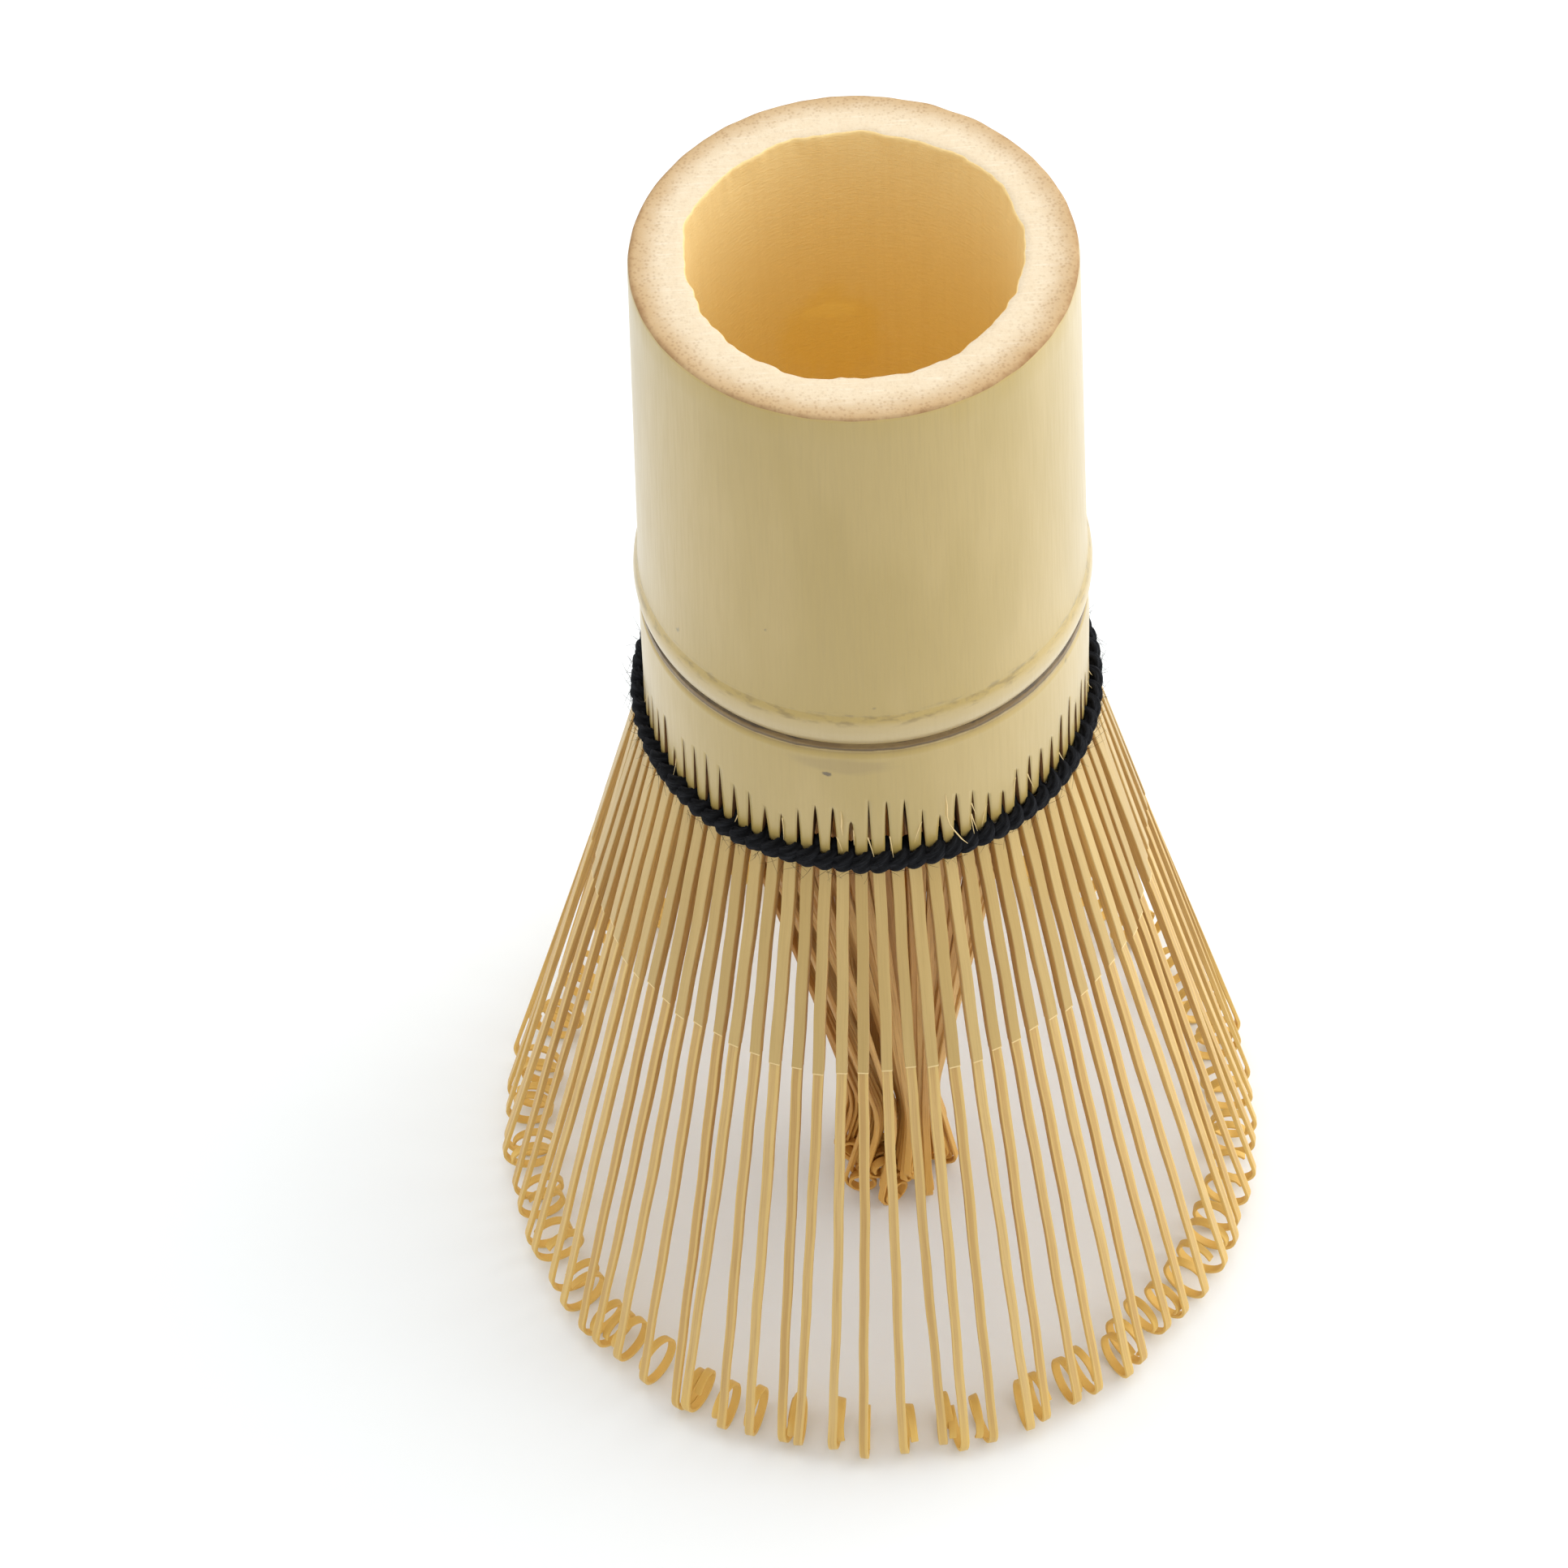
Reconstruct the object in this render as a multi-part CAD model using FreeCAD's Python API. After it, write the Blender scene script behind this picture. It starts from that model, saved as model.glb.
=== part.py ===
"""Bamboo tea whisk: a hollow handle, a split collar, a cotton thread and two rings of curled tines.

Units are millimetres. +Z runs up the handle and the tines' curled tips rest on z = 0.
"""
import FreeCAD, Part
import math
import os

# Overall height and the handle
HEIGHT = 105.0
HANDLE_TOP_R = 14.5
HANDLE_LOW_R = 15.55
BORE_R = 10.9
RIM_CHAMFER = 0.3

# Node of the culm: the swollen ring and the septum that closes the bore
NODE_TOP_Z = 76.2
NODE_LOW_Z = 72.4
NODE_SWELL_R = 15.95
NODE_SWELL_Z = 74.6
SCAR_R = 15.5
SCAR_LIP_R = 15.75
SCAR_LIP_Z = 73.0
SCAR_TOP_Z = 73.35
SEPTUM_R = 11.3
SEPTUM_Z = 74.4
SEPTUM_THICK = 1.6
SEPTUM_DISH = 0.5
SEPTUM_SHOULDER_DISH = 0.35
SEPTUM_FLAT_R = 3.0

# Collar below the node, split from below into one finger for each outer tine
TINE_COUNT = 80
PITCH = 360.0 / TINE_COUNT
COLLAR_TOP_R = 15.7
COLLAR_MID_R = 15.85
COLLAR_MID_Z = 69.0
COLLAR_BORE_TOP_R = 11.6
COLLAR_BORE_LOW_R = 12.2
COLLAR_FLOOR_Z = 66.8
FINGER_END_Z = 61.0
FINGER_END_R = 16.1
FINGER_ROOT_THICK = 1.15
FINGER_END_THICK = 0.95
SLIT_TOP_Z = 65.4
SLIT_TOP_SPREAD = 2.2

# How far a cutting shape reaches past the solid it cuts, and the width a tine is cut from
CUT_MARGIN = 1.0
TINE_BLANK_WIDTH = 2.0

# Outer tines
OUTER_TOP_Z = 60.7
OUTER_LEAN = 14.6
OUTER_LEAN_SPREAD = 0.7
OUTER_WIDTH_TOP = 0.88
OUTER_WIDTH_SPREAD = 0.1
OUTER_WIDTH_LOW = 0.74
OUTER_THICK_TOP = 0.87
OUTER_THICK_STEP = 0.68
OUTER_THICK_TIP = 0.3
SKIN_THICK = 0.08
SKIN_END_Z = 41.0
SKIN_END_SPREAD = 0.7
CURL_R = 2.15
CURL_R_SPREAD = 0.3
CURL_INNER_R = 1.7
CURL_LIFT_SPREAD = 0.5
CURL_FIRST_TURN = 180.0
CURL_SECOND_TURN = 215.0
OUTER_PER_NODE = 4

# Inner tines: they lean in to a neck, spread a little below it and end in small curls
INNER_TOP_Z = 66.35
INNER_TOP_R = 13.9
INNER_WIDTH = 0.4
INNER_THICK_TOP = 0.5
INNER_THICK_TIP = 0.26
INNER_TWIST = 32.0
INNER_PER_NODE = 5
NODES_PER_QUARTER = 4
NECK_Z = 11.0
NECK_BEND_R = 14.0
FLARE = 11.0
NECK_SHIFT = (1.1, -2.2)
QUARTER_GAP = 0.1
# one entry per layer of the bundle: (radius at the neck, lowest height, curl radius or None)
INNER_LAYERS = [
    (1.8, 8.3, None),
    (2.25, 7.2, None),
    (2.7, 4.7, 0.9),
    (3.15, 2.4, 1.0),
    (3.6, 0.0, 1.1),
]
INNER_CURL_TURN = 250.0

# Cotton thread: two turns outside, one turn behind, joined through the slits
THREAD_R = 0.42
THREAD_UPPER_Z = 61.12
THREAD_LOWER_Z = 60.26
THREAD_LOWER_GAP = 0.32
THREAD_BACK_R = 0.3
THREAD_BACK_RING_R = 14.5
THREAD_BACK_Z = 61.75
THREAD_LINK_R = 0.13
THREAD_LINK_RISE = 0.04


def jitter(index, salt):
    """Repeatable value from -0.5 to 0.5 that makes neighbouring tines differ."""
    value = math.sin(index * 12.9898 + salt * 78.233) * 43758.5453
    return value - math.floor(value) - 0.5


def vec(x, y, z):
    return FreeCAD.Vector(x, y, z)


def unit(heading):
    """Unit vector in the XZ plane at a heading in degrees from +X."""
    angle = math.radians(heading)
    return vec(math.cos(angle), 0, math.sin(angle))


def revolve(edges):
    """Solid of revolution about Z from a closed profile in the XZ plane."""
    face = Part.Face(Part.Wire(edges))
    return face.revolve(vec(0, 0, 0), vec(0, 0, 1), 360)


def chain(points):
    """Straight edges through (r, z) points, not closed."""
    spots = [vec(r, 0, z) for r, z in points]
    return [Part.makeLine(a, b) for a, b in zip(spots, spots[1:])]


def arc(first, middle, last):
    """Arc through three (r, z) points."""
    spots = [vec(r, 0, z) for r, z in (first, middle, last)]
    return Part.Arc(*spots).toShape()


def strip(start, heading, thick, steps):
    """Side face of a tine in the XZ plane.

    The path follows the outer face; the inner face lies to the right of the heading.
    A step is ("line", length, thickness at its end), ("arc", radius, turn) or ("ledge", depth).
    A positive turn bends towards the inner face; a ledge sets the outer face back.
    """
    outer, inner = [], []
    at = vec(start[0], 0, start[1])
    for step in steps:
        inward = unit(heading - 90)
        if step[0] == "line":
            end = at + unit(heading) * step[1]
            outer.append(Part.makeLine(at, end))
            inner.append(Part.makeLine(at + inward * thick, end + inward * step[2]))
            at, thick = end, step[2]
        elif step[0] == "ledge":
            end = at + inward * step[1]
            outer.append(Part.makeLine(at, end))
            at, thick = end, thick - step[1]
        else:
            radius, turn = step[1], step[2]
            side = 1 if turn > 0 else -1
            centre = at + inward * (radius * side)
            rays = [unit(heading + 90 * side - turn * part) for part in (0, 0.5, 1)]
            inner_radius = radius - thick * side
            outer.append(Part.Arc(*[centre + ray * radius for ray in rays]).toShape())
            inner.append(Part.Arc(*[centre + ray * inner_radius for ray in rays]).toShape())
            at = centre + rays[2] * radius
            heading -= turn
    first_cap = Part.makeLine(inner[0].Vertexes[0].Point, outer[0].Vertexes[0].Point)
    last_cap = Part.makeLine(at, at + unit(heading - 90) * thick)
    edges = Part.__sortEdges__([first_cap] + outer + [last_cap] + inner)
    return Part.Face(Part.Wire(edges))


def thicken(face, width):
    """Extrude a side face sideways by a width, centred on the XZ plane."""
    face.translate(vec(0, -width / 2, 0))
    return face.extrude(vec(0, width, 0))


def handle_tube():
    """Hollow grip, a little wider towards the node."""
    taper = (HANDLE_LOW_R - HANDLE_TOP_R) / (HEIGHT - NODE_TOP_Z)
    chamfer_r = HANDLE_TOP_R + taper * RIM_CHAMFER
    return revolve(chain([
        (BORE_R, NODE_TOP_Z),
        (HANDLE_LOW_R, NODE_TOP_Z),
        (chamfer_r, HEIGHT - RIM_CHAMFER),
        (HANDLE_TOP_R - RIM_CHAMFER, HEIGHT),
        (BORE_R, HEIGHT),
        (BORE_R, NODE_TOP_Z),
    ]))


def node_ring():
    """Swollen ring of the culm's node with the sheath scar under it."""
    swell = arc((HANDLE_LOW_R, NODE_TOP_Z), (NODE_SWELL_R, NODE_SWELL_Z), (SCAR_R, SCAR_TOP_Z))
    return revolve([swell] + chain([
        (SCAR_R, SCAR_TOP_Z),
        (SCAR_LIP_R, SCAR_LIP_Z),
        (COLLAR_TOP_R, NODE_LOW_Z),
        (SEPTUM_R, NODE_LOW_Z),
        (SEPTUM_R, SEPTUM_Z),
        (BORE_R, SEPTUM_Z),
        (BORE_R, NODE_TOP_Z),
        (HANDLE_LOW_R, NODE_TOP_Z),
    ]))


def node_diaphragm():
    """Thin septum, dished downwards, that closes the bore at the node."""
    low = SEPTUM_Z - SEPTUM_THICK
    shoulder = (SEPTUM_FLAT_R + BORE_R) / 2
    dip = SEPTUM_SHOULDER_DISH
    top_arc = arc((BORE_R, SEPTUM_Z), (shoulder, SEPTUM_Z - dip), (SEPTUM_FLAT_R, SEPTUM_Z - SEPTUM_DISH))
    low_arc = arc((SEPTUM_FLAT_R, low - SEPTUM_DISH), (shoulder, low - dip), (BORE_R, low))
    middle = chain([
        (SEPTUM_FLAT_R, SEPTUM_Z - SEPTUM_DISH),
        (0, SEPTUM_Z - SEPTUM_DISH),
        (0, low - SEPTUM_DISH),
        (SEPTUM_FLAT_R, low - SEPTUM_DISH),
    ])
    rim = chain([(BORE_R, low), (SEPTUM_R, low), (SEPTUM_R, SEPTUM_Z), (BORE_R, SEPTUM_Z)])
    return revolve([top_arc] + middle + [low_arc] + rim)


def tine_width(index):
    """Width of an outer tine where it leaves the thread."""
    return OUTER_WIDTH_TOP + OUTER_WIDTH_SPREAD * jitter(index % TINE_COUNT, 1)


def slit(index):
    """V-shaped slit between outer tines index and index + 1."""
    width = FINGER_END_R * math.radians(PITCH) - (tine_width(index) + tine_width(index + 1)) / 2
    top = SLIT_TOP_Z + SLIT_TOP_SPREAD * jitter(index, 2)
    low = FINGER_END_Z - CUT_MARGIN
    outline = [(0, top), (-width / 2, FINGER_END_Z), (-width / 2, low), (width / 2, low),
               (width / 2, FINGER_END_Z), (0, top)]
    wedge = Part.Face(Part.makePolygon([vec(COLLAR_BORE_LOW_R + CUT_MARGIN, y, z) for y, z in outline]))
    wedge = wedge.extrude(vec(FINGER_END_R, 0, 0))
    wedge.rotate(vec(0, 0, 0), vec(0, 0, 1), (index + 0.5) * PITCH)
    return wedge


def split_collar():
    """Wall under the node, whole at the top and slit into fingers at the bottom."""
    solid = revolve(chain([
        (COLLAR_BORE_TOP_R, NODE_LOW_Z),
        (COLLAR_TOP_R, NODE_LOW_Z),
        (COLLAR_MID_R, COLLAR_MID_Z),
        (FINGER_END_R, FINGER_END_Z),
        (FINGER_END_R - FINGER_END_THICK, FINGER_END_Z),
        (COLLAR_MID_R - FINGER_ROOT_THICK, COLLAR_FLOOR_Z),
        (COLLAR_BORE_LOW_R, COLLAR_FLOOR_Z),
        (COLLAR_BORE_TOP_R, NODE_LOW_Z),
    ]))
    return solid.cut([slit(index) for index in range(TINE_COUNT)])


def outer_tine(index):
    """One outer tine: skin-covered at the top, thinned below a step, curled in at the tip."""
    lean = OUTER_LEAN + OUTER_LEAN_SPREAD * jitter(index, 3)
    slope = math.radians(lean)
    curl = CURL_R + CURL_R_SPREAD * jitter(index, 4)
    lift = CURL_LIFT_SPREAD * (0.5 + jitter(index, 5)) if index % OUTER_PER_NODE else 0.0
    step_z = SKIN_END_Z + SKIN_END_SPREAD * jitter(index, 6)
    upper = (OUTER_TOP_Z - step_z) / math.cos(slope)
    bare_top_z = step_z - SKIN_THICK * math.sin(slope)
    lower = (bare_top_z - curl * (1 + math.sin(slope)) - lift) / math.cos(slope)
    side = strip((FINGER_END_R, OUTER_TOP_Z), lean - 90, OUTER_THICK_TOP, [
        ("line", upper, OUTER_THICK_STEP),
        ("ledge", SKIN_THICK),
        ("line", lower, OUTER_THICK_TIP),
        ("arc", curl, CURL_FIRST_TURN),
        ("arc", curl * CURL_INNER_R / CURL_R, CURL_SECOND_TURN),
    ])
    top, low = tine_width(index) / 2, OUTER_WIDTH_LOW / 2
    high = OUTER_TOP_Z + CUT_MARGIN
    front = Part.Face(Part.makePolygon([
        vec(0, -top, high), vec(0, top, high),
        vec(0, low, -CUT_MARGIN), vec(0, -low, -CUT_MARGIN), vec(0, -top, high)]))
    tine = thicken(side, TINE_BLANK_WIDTH).common(front.extrude(vec(HEIGHT, 0, 0)))
    tine.rotate(vec(0, 0, 0), vec(0, 0, 1), index * PITCH)
    return tine


def neck_lean(reach, drop):
    """Lean of an inner tine whose straight part runs into the neck bend without a kink."""
    lean = math.atan2(reach, drop)
    for _ in range(8):
        lean = math.atan2(reach - NECK_BEND_R * (1 - math.cos(lean)),
                          drop - NECK_BEND_R * math.sin(lean))
    return lean


def inner_tine(node, place):
    """One inner tine: down and in to the neck, out again below it, small curl at the tip."""
    neck_r, low_z, curl = INNER_LAYERS[place]
    root_angle = math.radians((node * INNER_PER_NODE + place) * PITCH)
    middle = (INNER_PER_NODE - 1) / 2
    neck_angle = math.radians((node * INNER_PER_NODE + middle) * PITCH + INNER_TWIST)
    quarter = node // NODES_PER_QUARTER
    gap_angle = math.radians(quarter * 90 + 45 - PITCH / 2 + INNER_TWIST)
    root = vec(INNER_TOP_R * math.cos(root_angle), INNER_TOP_R * math.sin(root_angle), 0)
    neck = vec(NECK_SHIFT[0] + neck_r * math.cos(neck_angle) + QUARTER_GAP * math.cos(gap_angle),
               NECK_SHIFT[1] + neck_r * math.sin(neck_angle) + QUARTER_GAP * math.sin(gap_angle), 0)
    chord = root - neck
    drop = INNER_TOP_Z - NECK_Z
    lean = neck_lean(chord.Length, drop)
    straight = (drop - NECK_BEND_R * math.sin(lean)) / math.cos(lean)
    flare = math.radians(FLARE)
    steps = [("line", straight, INNER_THICK_TIP),
             ("arc", NECK_BEND_R, -math.degrees(lean) - FLARE)]
    end_z = NECK_Z - NECK_BEND_R * math.sin(flare)
    if curl is not None:
        run = (end_z - low_z - curl * (1 + math.sin(flare))) / math.cos(flare)
        steps.append(("line", run, INNER_THICK_TIP))
        steps.append(("arc", curl, INNER_CURL_TURN))
    elif end_z > low_z + INNER_THICK_TIP:
        steps.append(("line", (end_z - low_z) / math.cos(flare), INNER_THICK_TIP))
    side = strip((chord.Length, INNER_TOP_Z), -90 - math.degrees(lean), INNER_THICK_TOP, steps)
    tine = thicken(side, INNER_WIDTH)
    tine.rotate(vec(0, 0, 0), vec(0, 0, 1), math.degrees(math.atan2(chord.y, chord.x)))
    tine.translate(neck)
    return tine


def ring(radius, thread_r, z):
    return Part.makeTorus(radius, thread_r, vec(0, 0, z), vec(0, 0, 1))


def thread_upper_turn():
    """Turn of thread round the ends of the collar's fingers."""
    return ring(FINGER_END_R + THREAD_R, THREAD_R, THREAD_UPPER_Z)


def thread_lower_turn():
    """Turn of thread round the tops of the outer tines."""
    return ring(FINGER_END_R + THREAD_LOWER_GAP + THREAD_R, THREAD_R, THREAD_LOWER_Z)


def thread_back_turn():
    """Turn of thread behind the fingers, with a short link through every slit."""
    back = ring(THREAD_BACK_RING_R, THREAD_BACK_R, THREAD_BACK_Z)
    links = []
    length = FINGER_END_R - THREAD_BACK_RING_R + THREAD_R
    for index in range(TINE_COUNT):
        start = vec(THREAD_BACK_RING_R, 0, THREAD_BACK_Z + THREAD_LINK_RISE)
        link = Part.makeCylinder(THREAD_LINK_R, length, start, vec(1, 0, 0))
        link.rotate(vec(0, 0, 0), vec(0, 0, 1), (index + 0.5) * PITCH)
        links.append(link)
    return back.fuse(links)


def build():
    """Every named node with its shape."""
    shapes = {
        "handle_tube": handle_tube(),
        "node_ring": node_ring(),
        "node_diaphragm": node_diaphragm(),
        "split_collar": split_collar(),
        "thread_upper_turn": thread_upper_turn(),
        "thread_lower_turn": thread_lower_turn(),
        "thread_back_turn": thread_back_turn(),
    }
    for node in range(TINE_COUNT // OUTER_PER_NODE):
        first = node * OUTER_PER_NODE
        tines = [outer_tine(first + place) for place in range(OUTER_PER_NODE)]
        shapes["outer_tines_%02d" % (node + 1)] = Part.makeCompound(tines)
    for node in range(TINE_COUNT // INNER_PER_NODE):
        tines = [inner_tine(node, place) for place in range(INNER_PER_NODE)]
        shapes["inner_tines_%02d" % (node + 1)] = Part.makeCompound(tines)
    return shapes


os.makedirs("parts", exist_ok=True)
for name, shape in build().items():
    shape.exportStep("parts/%s.step" % name)
    print(name, len(shape.Solids), "solids", round(shape.Volume, 2), "mm3", shape.isValid())
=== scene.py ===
"""Looks of the bamboo tea whisk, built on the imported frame. Sizes below are in millimetres."""
import math

import bmesh
import bpy
from mathutils import Matrix, Vector, noise


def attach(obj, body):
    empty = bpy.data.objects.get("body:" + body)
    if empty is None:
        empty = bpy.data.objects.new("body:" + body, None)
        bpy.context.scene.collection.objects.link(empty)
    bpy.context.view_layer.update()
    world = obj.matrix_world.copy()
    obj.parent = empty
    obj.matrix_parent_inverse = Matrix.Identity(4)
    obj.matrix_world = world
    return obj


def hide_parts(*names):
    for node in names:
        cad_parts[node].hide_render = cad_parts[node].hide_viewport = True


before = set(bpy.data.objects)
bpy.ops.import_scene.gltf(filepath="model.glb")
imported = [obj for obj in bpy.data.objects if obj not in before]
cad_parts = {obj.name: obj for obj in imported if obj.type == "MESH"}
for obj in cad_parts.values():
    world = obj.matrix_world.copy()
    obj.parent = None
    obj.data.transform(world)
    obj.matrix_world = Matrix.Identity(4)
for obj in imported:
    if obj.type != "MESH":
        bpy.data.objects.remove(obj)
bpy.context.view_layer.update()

MM = 0.001

# Culm: handle, node ring and collar share one outer profile of (height, radius)
HEIGHT = 105.0
CULM_PROFILE = [
    (61.0, 16.1), (65.0, 15.97), (69.0, 15.85), (71.2, 15.76), (72.4, 15.7), (72.78, 15.72),
    (72.96, 15.7), (73.06, 15.56), (73.16, 15.5), (73.28, 15.6), (73.6, 15.76), (74.2, 15.92),
    (74.9, 15.97), (75.5, 15.9), (76.0, 15.68), (76.4, 15.54), (77.4, 15.5), (80.0, 15.42),
    (90.0, 15.05), (HEIGHT, 14.5),
]
BORE_R = 10.9
BORE_EDGE = 0.1
NODE_LOW_Z = 72.4
NODE_TOP_Z = 76.2
SCAR_Z = 73.1
SCAR_WANDER = 0.12
COLLAR_WALL = 1.1
COLLAR_FLOOR_Z = 66.8
COLLAR_BORE_R = 12.2
TINE_COUNT = 80
PITCH = 360.0 / TINE_COUNT
FINGER_END_Z = 61.0
FINGER_SHARE = 0.88
FINGER_END_R = 16.1
SLIT_TOP_Z = 65.4
SLIT_TOP_SPREAD = 3.4

# Outer tines
OUTER_TOP_Z = 60.85
OUTER_LEAN = 14.6
OUTER_LEAN_SPREAD = 0.7
OUTER_WIDTH_TOP = 0.88
OUTER_WIDTH_SPREAD = 0.1
OUTER_WIDTH_LOW = 0.74
OUTER_THICK_TOP = 0.87
OUTER_THICK_STEP = 0.68
OUTER_THICK_TIP = 0.3
SKIN_THICK = 0.11
SKIN_END_Z = 41.0
SKIN_END_SPREAD = 0.7
CURL_R = 2.15
CURL_R_SPREAD = 0.3
CURL_LIFT_SPREAD = 0.5
OUTER_PER_NODE = 4
OUTER_EDGE = 0.05
UPPER_STEPS = 18
STEP_EDGE = 0.12
LOWER_STEPS = 26
OUTER_CURL_STEPS = 34
STRIP_OFFSET = 6.0
OUTER_SWAY = 2.0
GROUP_EDGE_SWAY = 0.08
GROUP_EDGE_CURL = 0.35

# Inner tines
INNER_TOP_Z = 66.3
INNER_TOP_R = 13.9
INNER_WIDTH = 0.74
INNER_THICK_TOP = 0.42
INNER_THICK_TIP = 0.24
INNER_TWIST = 32.0
INNER_PER_NODE = 5
NODES_PER_QUARTER = 4
NECK_Z = 11.0
NECK_BEND_R = 14.0
FLARE = 11.0
NECK_SHIFT = (1.1, -3.0)
QUARTER_GAP = 0.1
INNER_STRAIGHT_STEPS = 16
NECK_STEPS = 6
FLARE_STEPS = 4
INNER_CURL_STEPS = 26
# (radius at the neck, lowest height, curl radius, spread of the height) for each layer of the bundle
INNER_LAYERS = [(1.8, 4.6, 0.7, 0.5), (2.25, 3.4, 0.8, 1.0), (2.7, 2.4, 1.0, 1.5), (3.15, 1.2, 1.2, 2.5),
                (3.6, 0.1, 1.4, 3.6)]

# Slivers of skin that hang off the collar over the thread: (angle, height, distance from the wall)
SLIVERS = [
    [(-72.6, 66.6, 0.0), (-72.4, 65.4, 0.08), (-72.5, 64.2, 0.12), (-72.0, 63.4, 0.3)],
    [(-72.2, 63.6, 0.2), (-71.2, 63.0, 0.6), (-70.0, 62.4, 1.0), (-68.9, 62.0, 1.2)],
    [(-99.2, 66.0, 0.0), (-99.0, 65.2, 0.1), (-99.1, 64.4, 0.15), (-98.9, 63.5, 0.1)],
]

# Woven thread: two yarns that twine round the tines
THREAD_Z = 60.85
THREAD_MID_R = 15.75
THREAD_SWING = 0.93
THREAD_RISE = 0.22
YARN_TALL = 0.8
YARN_DEEP = 0.5
YARN_PLIES = 5
YARN_TWIST = 0.55
YARN_SNAP = 1.9
YARN_STEPS = 20
YARN_SIDES = 20

# Painted glow standing in for light through the wall into the bore, and the white surroundings
GLOW_STRENGTH = 0.085
WORLD_STRENGTH = 0.8

# Camera: target and distance in millimetres, angles in degrees
CAMERA_TARGET = (-6.367, 0.0, 48.70)
CAMERA_DISTANCE = 324.9
CAMERA_ELEVATION = 52.965
CAMERA_ROLL = -3.212
CAMERA_LENS = 100.0


def jitter(index, salt):
    """Repeatable value from -0.5 to 0.5, the same one that sizes the CAD tines.

    The salt tells one use from another, so each property of a tine has its own.
    """
    value = math.sin(index * 12.9898 + salt * 78.233) * 43758.5453
    return value - math.floor(value) - 0.5


def waver(index, salt, at):
    """Slow uneven wave along a strip, about -1 to 1, different for each index and salt."""
    phase = 6.3 * jitter(index, salt)
    return 0.4 * math.sin(0.7 * at + phase) + 0.6 * math.sin(0.23 * at + 2.7 * phase)


def smooth(value, low, high):
    """0 below low, 1 above high, smooth between."""
    part = min(max((value - low) / (high - low), 0.0), 1.0)
    return part * part * (3 - 2 * part)


def turned(radius, degrees, z):
    """Point at a radius, angle and height."""
    angle = math.radians(degrees)
    return Vector((radius * math.cos(angle), radius * math.sin(angle), z))


# ---------------------------------------------------------------- materials


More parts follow.
